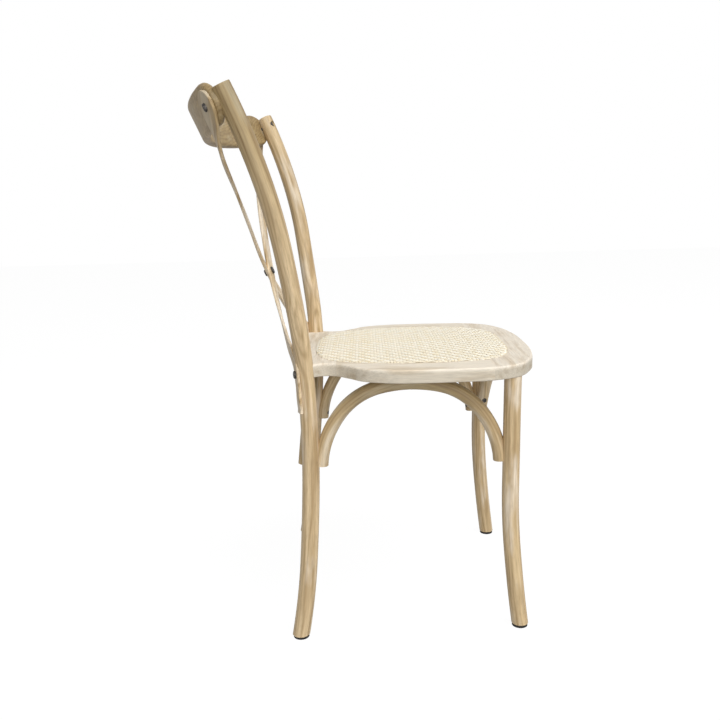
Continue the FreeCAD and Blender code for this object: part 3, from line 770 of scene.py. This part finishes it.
@dataclass
class BentFrame(Dressed):
    """The posts, the front legs and the arches under the seat.

    Attributes:
        post_left: height, X and Y of the left rear post's middle line.
        post_right: the same for the right one.
        leg_stations: height, half spread and Y of a front leg's middle line.
        arches: each arch's node, direction, middle, height of its ends and half span.
        arch_rise: the rise of an arch above its ends.
        post_honey: the posts' bare wood, a little paler than the legs'.
        arch_shaded_honey: the arches' bare wood, darker than the legs' as painted shade from the
            seat above.
        arch_shaded_lime: the arches' wash, darker likewise as painted shade.
    """

    post_left: Stations = (
        (0.000, 0.2050, 0.1448), (0.078, 0.1949, 0.1322), (0.179, 0.1834, 0.1236),
        (0.317, 0.1666, 0.1105), (0.460, 0.1570, 0.1038), (0.585, 0.1802, 0.1168),
        (0.7185, 0.2138, 0.1392), (0.799, 0.2301, 0.1626), (0.890, 0.2450, 0.1990))
    post_right: Stations = (
        (0.000, -0.2050, 0.1248), (0.078, -0.1949, 0.1122), (0.179, -0.1834, 0.1036),
        (0.317, -0.1666, 0.0985), (0.460, -0.1570, 0.1038), (0.585, -0.1802, 0.1168),
        (0.7185, -0.2138, 0.1392), (0.799, -0.2301, 0.1626), (0.890, -0.2450, 0.1990))
    leg_stations: Stations = (
        (0.000, 0.1840, -0.2498), (0.083, 0.1830, -0.2400), (0.184, 0.1817, -0.2319),
        (0.326, 0.1799, -0.2313), (0.438, 0.1785, -0.2326))
    arches: tuple[tuple[str, Axis, float, float, float], ...] = (
        ("side_arch_left", Axis.DEEP, -0.061, 0.282, 0.153),
        ("side_arch_right", Axis.DEEP, -0.067, 0.292, 0.146),
        ("front_arch", Axis.ACROSS, 0.0, 0.288, 0.161),
        ("rear_arch", Axis.ACROSS, 0.0, 0.288, 0.150))
    arch_rise: float = 0.140
    post_honey: Colour = (0.79, 0.61, 0.37)
    arch_shaded_honey: Colour = (0.70, 0.54, 0.31)
    arch_shaded_lime: Colour = (0.80, 0.69, 0.53)

    def build(self) -> None:
        """Dress the posts, the legs and the arches."""
        # Painted shade: both posts are made darker higher up, the right post much more.
        left_post = LimedOak("post_oak_left", self.post_honey, height_shade=0.13, start=3.0)
        right_post = LimedOak("post_oak_right", self.post_honey, washed=0.34, height_shade=0.52,
                              shade_from=0.58, shade_to=0.90, start=7.0)
        right_leg = tuple((high, -across, deep) for high, across, deep in self.leg_stations)
        for node, oak, stations in (
                ("rear_post_left", left_post, self.post_left),
                ("rear_post_right", right_post, self.post_right),
                ("front_leg_left", LimedOak("leg_oak_left", start=11.0), self.leg_stations),
                ("front_leg_right", LimedOak("leg_oak_right", start=15.0), right_leg)):
            self.dress(node, oak.material(RodGrain(stations)))
        for place, (node, *spans) in enumerate(self.arches):
            # Painted shade: each arch darkens towards the seat's underside, which shades it.
            oak = LimedOak("oak_" + node, self.arch_shaded_honey, lime=self.arch_shaded_lime, washed=0.58,
                           height_shade=0.42, shade_from=0.34, shade_to=0.43, start=19.0 + 4.0 * place)
            self.dress(node, oak.material(ArchGrain(*spans, self.arch_rise)))


@dataclass
class Back(Dressed):
    """The top rail and the crossed slats.

    Attributes:
        rail_half_length: half the rail's length between its posts.
        rail_bow: how far the rail's middle stands behind its ends.
        slat_slant: a slat's angle above the level, in radians.
    """

    rail_half_length: float = 0.2417
    rail_bow: float = 0.0653
    slat_slant: float = 0.797

    def build(self) -> None:
        """Dress the rail and the slats."""
        # Painted shade: the rail is made darker, most of all higher up.
        oak = LimedOak("rail_oak", washed=0.35, height_shade=0.50, start=41.0)
        self.dress("top_rail", oak.material(BowGrain(self.rail_half_length, self.rail_bow)))
        for node, slant, start in (("cross_slat_front", self.slat_slant, 45.0),
                                   ("cross_slat_rear", math.pi - self.slat_slant, 49.0)):
            # Painted shade: the slats are made darker towards their tops.
            slat = LimedOak("oak_" + node, washed=0.65, height_shade=0.34, shade_from=0.66, shade_to=0.86,
                            start=start)
            self.dress(node, slat.material(StripGrain(slant)))


@dataclass
class SeatFrame(Dressed):
    """The four shaped pieces of the seat, and the ring and dowels inside it.

    Attributes:
        honey: the seat's bare wood.
        shade: its darker growth.
        lime: its wash, thicker than on the legs.
        top_light: painted light, how much paler the seat's top is made than its sides.
        top_from: the height at which it starts to get paler, in metres.
        top_to: the height from which it stays the same, in metres.
        front_tone_and_shade: the front rail's lightness beside the side rails', partly its own tone
            and partly painted shade on its sides.
        rear_tone_and_shade: the same for the rear rail.
    """

    honey: Colour = (0.61, 0.52, 0.385)
    shade: Colour = (0.49, 0.40, 0.28)
    lime: Colour = (0.715, 0.65, 0.535)
    top_light: float = 1.22
    top_from: float = 0.452
    top_to: float = 0.459
    front_tone_and_shade: float = 0.89
    rear_tone_and_shade: float = 0.93

    def build(self) -> None:
        """Dress the seat's pieces."""
        boards = {"seat_front_rail": (Axis.ACROSS, self.front_tone_and_shade),
                  "seat_rear_rail": (Axis.ACROSS, self.rear_tone_and_shade),
                  "seat_side_rail_left": (Axis.DEEP, 1.0), "seat_side_rail_right": (Axis.DEEP, 1.0),
                  "insert_frame": (Axis.ACROSS, 1.0), "seat_dowels": (Axis.DEEP, 1.0)}
        for place, (node, (run, tone)) in enumerate(boards.items()):
            # A rail's own tone and painted shade darken its sides, while its top keeps its painted
            # light.
            honey, shade, lime = (tuple(part * tone for part in tint)
                                  for tint in (self.honey, self.shade, self.lime))
            # Painted light makes each board's top paler than its sides.
            oak = LimedOak("oak_" + node, honey, shade, lime, washed=0.78, ring=0.0065,
                           height_shade=1.0 - self.top_light / tone, shade_from=self.top_from,
                           shade_to=self.top_to, start=60.0 + 5.0 * place)
            self.dress(node, oak.material(BoardGrain(run)))


@dataclass
class Hardware(Dressed):
    """Bolts, nuts, screws and glides."""

    def build(self) -> None:
        """Dress the metal and the glides."""
        steel = PlainFinish("dark_steel", colour=(0.055, 0.050, 0.045), worn=(0.20, 0.18, 0.16),
                            roughness=0.38, metallic=0.7)
        rubber = PlainFinish("glide_black", colour=(0.010, 0.009, 0.008), worn=(0.03, 0.027, 0.024),
                             roughness=0.75, metallic=0.0)
        dark = steel.material()
        for node in ("rail_bolts", "rail_nuts", "cross_bolt", "cross_nut", "seat_bolts",
                     "arch_end_screws", "arch_top_screws", "insert_screws"):
            self.dress(node, dark)
        self.dress("glides", rubber.material())


@dataclass
class WovenPanel:
    """Cane strips woven two over and two under, stretched over the seat's panel.

    Attributes:
        pitch: the distance from strip to strip.
        width: a strip's width.
        thickness: a strip's thickness.
        profile_sides: how many sides its rounded section has.
        lift: how far a strip rises and falls from the middle of the weave.
        floats: how many strips each one passes over, and then under.
        sink: how far the middle of the weave lies below the panel's top.
        skirt_height: the height at which the panel's outline is measured.
        skirt_foot: the height at which the strips end, in the seam.
        foot_out: how far a strip's foot stands out from its last turn.
        edge_insets: distances from the outline at which a strip turns down.
        shortest: the length of the shortest strip that is woven.
        fewest_points: how many points the shortest strip has.
        far: how far off the rays start that measure the panel.
        shade_sheet_drop: how far the sheet of painted shade lies inside the panel.
        deep_tones: the pale and the straw colour of the strips from front to rear.
        across_shaded_tones: the same for the strips from side to side, darker as painted shade.
        shade_sheet_tones: the pale, straw and stain colours of the sheet of painted shade.
    """

    pitch: float = 5.2 * MM
    width: float = 4.7 * MM
    thickness: float = 1.5 * MM
    profile_sides: int = 8
    lift: float = 0.75 * MM
    floats: int = 2
    sink: float = 1.0 * MM
    skirt_height: float = 456.0 * MM
    skirt_foot: float = 449.2 * MM
    foot_out: float = 0.25 * MM
    edge_insets: tuple[float, ...] = (4.2 * MM, 2.2 * MM, 1.1 * MM)
    shortest: float = 16.8 * MM
    fewest_points: int = 4
    far: float = 1.0
    shade_sheet_drop: float = 1.5 * MM
    deep_tones: tuple[Colour, Colour] = ((0.95, 0.91, 0.80), (0.92, 0.84, 0.66))
    # The strips from side to side are the same cane, darker as painted shade.
    across_shaded_tones: tuple[Colour, Colour] = ((0.84, 0.76, 0.60), (0.78, 0.67, 0.46))
    # The dark colours of the sheet of painted shade in the weave's gaps.
    shade_sheet_tones: tuple[Colour, Colour, Colour] = ((0.46, 0.36, 0.22), (0.40, 0.30, 0.17),
                                                   (0.25, 0.18, 0.10))

    def __post_init__(self) -> None:
        """Read the panel's solid."""
        self.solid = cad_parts["rattan_panel"]
        self.low, self.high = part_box("rattan_panel")
        shape = self.merged()
        self.tree = BVHTree.FromBMesh(shape)
        shape.free()

    def merged(self) -> bmesh.types.BMesh:
        """Copy the solid's mesh with its loose triangles joined.

        Returns:
            The copy, to be freed by the caller.
        """
        shape = bmesh.new()
        shape.from_mesh(self.solid.data)
        bmesh.ops.remove_doubles(shape, verts=shape.verts, dist=MERGED)
        return shape

    def edge(self, run: Axis, across: float, way: int) -> Optional[float]:
        """Where a straight line over the seat meets the panel's outline.

        Args:
            run: the line's direction.
            across: the line's place square to that direction.
            way: +1 for its far end, -1 for its near end.

        Returns:
            The place along the line, or None where it misses the panel.
        """
        start = Vector((way * self.far, across, self.skirt_height))
        inward = Vector((-way, 0, 0))
        if run is Axis.DEEP:
            start.xy = start.yx
            inward.xy = inward.yx
        hit = self.tree.ray_cast(start, inward)[0]
        if hit is None:
            return None
        return hit.y if run is Axis.DEEP else hit.x

    def top(self, x: float, y: float) -> Optional[float]:
        """The height of the panel's top over a point, or None outside it."""
        hit = self.tree.ray_cast(Vector((x, y, self.far)), Vector((0, 0, -1)))[0]
        return None if hit is None else hit.z

    def guide(self, run: Axis, across: float) -> list[tuple[Vector, float]]:
        """The points that one strip follows, and how much it weaves at each.

        Args:
            run: the strip's direction.
            across: its place square to that direction.

        Returns:
            Points in order, each with 1.0 where the strip weaves and 0.0 at its turned ends.
        """
        first, last = (self.edge(run, across, way) for way in (-1, 1))
        if first is None or last is None or last - first < self.shortest:
            return []
        insets = self.edge_insets
        places = [(first + inset, 0.0) for inset in reversed(insets)]
        step = math.floor((first + insets[0]) / self.pitch) + 1.5  # strips cross half a pitch on
        while step * self.pitch < last - insets[0]:
            places.append((step * self.pitch, 1.0))
            step += 1
        places += [(last - inset, 0.0) for inset in insets]
        points = []
        for along, weaves in places:
            x, y = (across, along) if run is Axis.DEEP else (along, across)
            height = self.top(x, y)
            if height is not None:
                points.append((Vector((x, y, height - self.sink)), weaves))
        if len(points) < self.fewest_points:
            return []
        feet = []
        for end, inner in ((points[0][0], points[1][0]), (points[-1][0], points[-2][0])):
            out = Vector((end.x - inner.x, end.y - inner.y, 0.0)).normalized() * self.foot_out
            feet.append(Vector((end.x + out.x, end.y + out.y, self.skirt_foot)))
        return [(feet[0], 0.0)] + points + [(feet[1], 0.0)]

    def guides(self, run: Axis) -> bpy.types.Mesh:
        """All strips of one direction, as lines of points.

        Args:
            run: the strips' direction.

        Returns:
            A mesh of edges, with the attribute "weaves".
        """
        points: list[Vector] = []
        weaves: list[float] = []
        edges: list[tuple[int, int]] = []
        low, high = (self.low.x, self.high.x) if run is Axis.DEEP else (self.low.y, self.high.y)
        step = math.floor(low / self.pitch) + 0.5
        while step * self.pitch < high:
            line = self.guide(run, step * self.pitch)
            start = len(points)
            points += [point for point, _ in line]
            weaves += [weave for _, weave in line]
            edges += [(start + i, start + i + 1) for i in range(len(line) - 1)]
            step += 1
        mesh = bpy.data.meshes.new("cane_guides_" + run.value)
        mesh.from_pydata(points, edges, [])
        mesh.attributes.new("weaves", "FLOAT", "POINT").data.foreach_set("value", weaves)
        return mesh

    def weave_tree(self) -> tuple[bpy.types.NodeTree, dict[str, str]]:
        """Build the tree that turns guide lines into woven strips.

        Returns:
            The tree, and the identifier of each of its inputs by name.
        """
        tree = bpy.data.node_groups.new("cane_weave", "GeometryNodeTree")
        face = tree.interface
        names: dict[str, str] = {}
        sizes = ("Pitch", "Width", "Thickness", "Lift", "Floats", "Shift")
        for name, kind in (("Guides", "Geometry"), *((size, "Float") for size in sizes),
                           ("Finish", "Material")):
            names[name] = face.new_socket(name=name, in_out="INPUT",
                                          socket_type="NodeSocket" + kind).identifier
        face.new_socket(name="Strips", in_out="OUTPUT", socket_type="NodeSocketGeometry")
        plan = Plan(tree)
        given = plan.node("NodeGroupInput").outputs

        def number(name: str) -> Value:
            """A named input of the tree."""
            return Value(plan, given[name])

        x, y, _ = plan.parts(plan.node("GeometryNodeInputPosition").outputs[0])
        column = (x / number("Pitch")).floor()
        row = (y / number("Pitch")).floor()
        turn = (column - row + number("Shift")) % (number("Floats") * 2.0)
        over = (turn < number("Floats") - 0.5) * 2.0 - 1.0
        weaves = plan.node("GeometryNodeInputNamedAttribute", {"data_type": "FLOAT"},
                           {"Name": "weaves"}).outputs[0]
        rise = plan.vector(0.0, 0.0, over * number("Lift") * Value(plan, weaves))
        moved = plan.node("GeometryNodeSetPosition",
                          feeds={"Geometry": given["Guides"], "Offset": rise})
        curve = plan.node("GeometryNodeMeshToCurve", feeds={0: moved.outputs[0]})
        level = plan.node("GeometryNodeSetCurveNormal", {"mode": "Z_UP"}, {0: curve.outputs[0]})
        ring = plan.node("GeometryNodeCurvePrimitiveCircle",  # one unit wide before it is scaled
                         feeds={"Resolution": self.profile_sides, "Radius": 0.5})
        flat = plan.node("GeometryNodeTransform", feeds={
            "Geometry": ring.outputs[0],
            "Scale": plan.vector(number("Width"), number("Thickness"), 1.0)})
        strips = plan.node("GeometryNodeCurveToMesh", feeds={
            "Curve": level.outputs[0], "Profile Curve": flat.outputs[0], "Fill Caps": True})
        smooth = plan.node("GeometryNodeSetShadeSmooth", feeds={0: strips.outputs[0]})
        real = plan.node("GeometryNodeRealizeInstances", feeds={0: smooth.outputs[0]})
        done = plan.node("GeometryNodeSetMaterial",
                         feeds={0: real.outputs[0], "Material": given["Finish"]})
        plan.node("NodeGroupOutput", feeds={0: done.outputs[0]})
        return tree, names

    def strips(self, run: Axis, tree: bpy.types.NodeTree,
               names: dict[str, str]) -> bpy.types.Object:
        """Weave the strips of one direction.

        Args:
            run: the strips' direction.
            tree: the weaving tree.
            names: the identifiers of its inputs.

        Returns:
            The finished piece.
        """
        piece = Mesh.piece("cane_strips_" + run.name.lower(), self.guides(run))
        # The strips from side to side take darker colours, painted shade.
        pale, straw = self.deep_tones if run is Axis.DEEP else self.across_shaded_tones
        finish = CaneStrip(piece.name, run, self.pitch, pale, straw).material()
        shift = 0.0 if run is Axis.DEEP else float(self.floats)
        sizes = {"Pitch": self.pitch, "Width": self.width, "Thickness": self.thickness,
                 "Lift": self.lift, "Floats": float(self.floats), "Shift": shift, "Finish": finish}
        modifier = piece.modifiers.new("weave", "NODES")
        modifier.node_group = tree
        for name, size in sizes.items():
            modifier[names[name]] = size
        Mesh.applied(piece)
        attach(piece, "root")
        LOG.info("%s: %d faces", piece.name, len(piece.data.polygons))
        return piece

    def shade_sheet(self) -> bpy.types.Object:
        """A dark sheet of painted shade that shows in the gaps of the weave, just inside the
        panel's solid.

        Returns:
            The finished piece.
        """
        shape = self.merged()
        middle = (self.low + self.high) / 2
        room = (self.high - self.low) / 2
        shrink = Matrix.Diagonal(((room.x - self.shade_sheet_drop) / room.x,
                                  (room.y - self.shade_sheet_drop) / room.y, 1.0, 1.0))
        shape.transform(Matrix.Translation(-middle))
        shape.transform(shrink)
        shape.transform(Matrix.Translation(middle - Vector((0, 0, self.shade_sheet_drop))))
        for vert in shape.verts:
            vert.co.z = max(vert.co.z, self.low.z)
        bmesh.ops.dissolve_degenerate(shape, edges=shape.edges, dist=MERGED)
        mesh = bpy.data.meshes.new("cane_gap_shade")
        shape.to_mesh(mesh)
        shape.free()
        piece = Mesh.piece("cane_gap_shade", mesh)
        mesh.materials.clear()
        mesh.materials.append(
            CaneStrip("cane_gap_shade_finish", Axis.DEEP, self.pitch, *self.shade_sheet_tones).material())
        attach(piece, "root")
        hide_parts("rattan_panel")
        LOG.info("%s: %d faces", piece.name, len(mesh.polygons))
        return piece

    def build(self) -> None:
        """Weave both directions over the sheet of painted shade."""
        tree, names = self.weave_tree()
        self.shade_sheet()
        for run in Axis:
            self.strips(run, tree, names)


# Studio
@dataclass(frozen=True)
class Lamp:
    """A soft square lamp.

    Attributes:
        name: its name.
        place: where it hangs.
        size: its width.
        power: its power, in watts.
    """

    name: str
    place: Place
    size: float
    power: float

    def hang(self, aim: Place) -> None:
        """Hang the lamp.

        Args:
            aim: what it points at.
        """
        data = bpy.data.lights.new(self.name, "AREA")
        data.size = self.size
        data.energy = self.power
        made = bpy.data.objects.new(self.name, data)
        made.location = self.place
        made.rotation_mode = "QUATERNION"
        made.rotation_quaternion = (Vector(aim) - Vector(self.place)).to_track_quat("-Z", "Y")
        bpy.context.scene.collection.objects.link(made)


@dataclass
class Studio:
    """The camera, the lights, the floor and the white background.

    Attributes:
        camera_place: where the camera stands.
        yaw: its turn from +X towards -Y, in radians.
        pitch: its tilt downwards, in radians.
        roll: its roll, in radians.
        lens: its focal length, in millimetres.
        sensor: its sensor's width, in millimetres.
        lamps: the lamps.
        aim: what the lamps point at.
        room_light: the strength of the even light from all round.
        floor_half: half the floor's width.
        floor_grey: the floor's own colour, which takes the shadow.
        floor_rough: its roughness.
        floor_glow: the strength of the white that it shows.
        floor_share: how much of what it shows is that white.
    """

    camera_place: Place = (-1.36596, -0.00104, 0.72538)
    yaw: float = -0.0111
    pitch: float = 0.212
    roll: float = 0.0282
    lens: float = 38.0
    sensor: float = 36.0
    lamps: tuple[Lamp, ...] = (Lamp("key", (-1.5, -2.2, 4.8), size=3.4, power=215.0),
                               Lamp("fill", (-4.6, -0.2, 1.5), size=3.6, power=120.0))
    aim: Place = (0.0, 0.0, 0.45)
    room_light: float = 0.16
    floor_half: float = 8.0
    floor_grey: Colour = (0.45, 0.45, 0.45)
    floor_rough: float = 0.9
    floor_glow: float = 1.13
    floor_share: float = 0.86

    def camera(self) -> None:
        """Stand the camera where the photograph was taken."""
        yaw, pitch, roll = self.yaw, self.pitch, self.roll
        ahead = Vector((math.cos(pitch) * math.cos(yaw), -math.cos(pitch) * math.sin(yaw),
                        -math.sin(pitch)))
        level = Vector((-math.sin(yaw), -math.cos(yaw), 0.0))
        below = ahead.cross(level)
        right = level * math.cos(roll) + below * math.sin(roll)
        down = below * math.cos(roll) - level * math.sin(roll)
        turn = Matrix((right, -down, -ahead)).transposed().to_4x4()
        data = bpy.data.cameras.new("camera")
        data.lens = self.lens
        data.sensor_width = self.sensor
        made = bpy.data.objects.new("camera", data)
        made.matrix_world = Matrix.Translation(self.camera_place) @ turn
        bpy.context.scene.collection.objects.link(made)
        bpy.context.scene.camera = made

    def world(self) -> None:
        """Even light from all round, and a plain white background."""
        world = bpy.data.worlds.new("studio")
        world.use_nodes = True
        bpy.context.scene.world = world
        plan = Plan(world.node_tree)
        plan.tree.nodes.clear()
        soft, white = (plan.node("ShaderNodeBackground", feeds={"Color": WHITE, "Strength": power})
                       for power in (self.room_light, 1.0))
        both = plan.node("ShaderNodeMixShader",
                         feeds={0: plan.seen(), 1: soft.outputs[0], 2: white.outputs[0]})
        plan.node("ShaderNodeOutputWorld", feeds={0: both.outputs[0]})

    def floor(self) -> None:
        """A white floor that keeps a faint shadow of the chair."""
        half = self.floor_half
        mesh = bpy.data.meshes.new("floor")
        mesh.from_pydata([(-half, -half, 0), (half, -half, 0), (half, half, 0), (-half, half, 0)],
                         [], [(0, 1, 2, 3)])
        piece = Mesh.piece("floor", mesh)
        shader = Shader("floor_white")
        shader.surface.inputs["Base Color"].default_value = (*self.floor_grey, 1.0)
        shader.surface.inputs["Roughness"].default_value = self.floor_rough
        shader.surface.inputs["Specular IOR Level"].default_value = 0.0
        glow = shader.node("ShaderNodeEmission",
                           feeds={"Color": WHITE, "Strength": self.floor_glow})
        both = shader.node("ShaderNodeMixShader",
                           feeds={0: shader.seen() * self.floor_share,
                                  1: shader.surface.outputs[0], 2: glow.outputs[0]})
        end = next(made for made in shader.tree.nodes if made.type == "OUTPUT_MATERIAL")
        shader.tree.links.new(both.outputs[0], end.inputs[0])
        mesh.materials.append(shader.material)

    def build(self) -> None:
        """Set up the studio."""
        bpy.context.scene.view_settings.view_transform = "Standard"
        self.camera()
        self.world()
        self.floor()
        for lamp in self.lamps:
            lamp.hang(self.aim)


def main() -> None:
    """Build the chair's looks, piece by piece."""
    logging.basicConfig(level=logging.INFO, format="%(name)s %(message)s")
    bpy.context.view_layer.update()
    Studio().build()
    for part in (BentFrame(), Back(), SeatFrame(), Hardware(), WovenPanel()):
        part.build()
        LOG.info("%s is done", type(part).__name__)


if __name__ == "__main__":
    main()
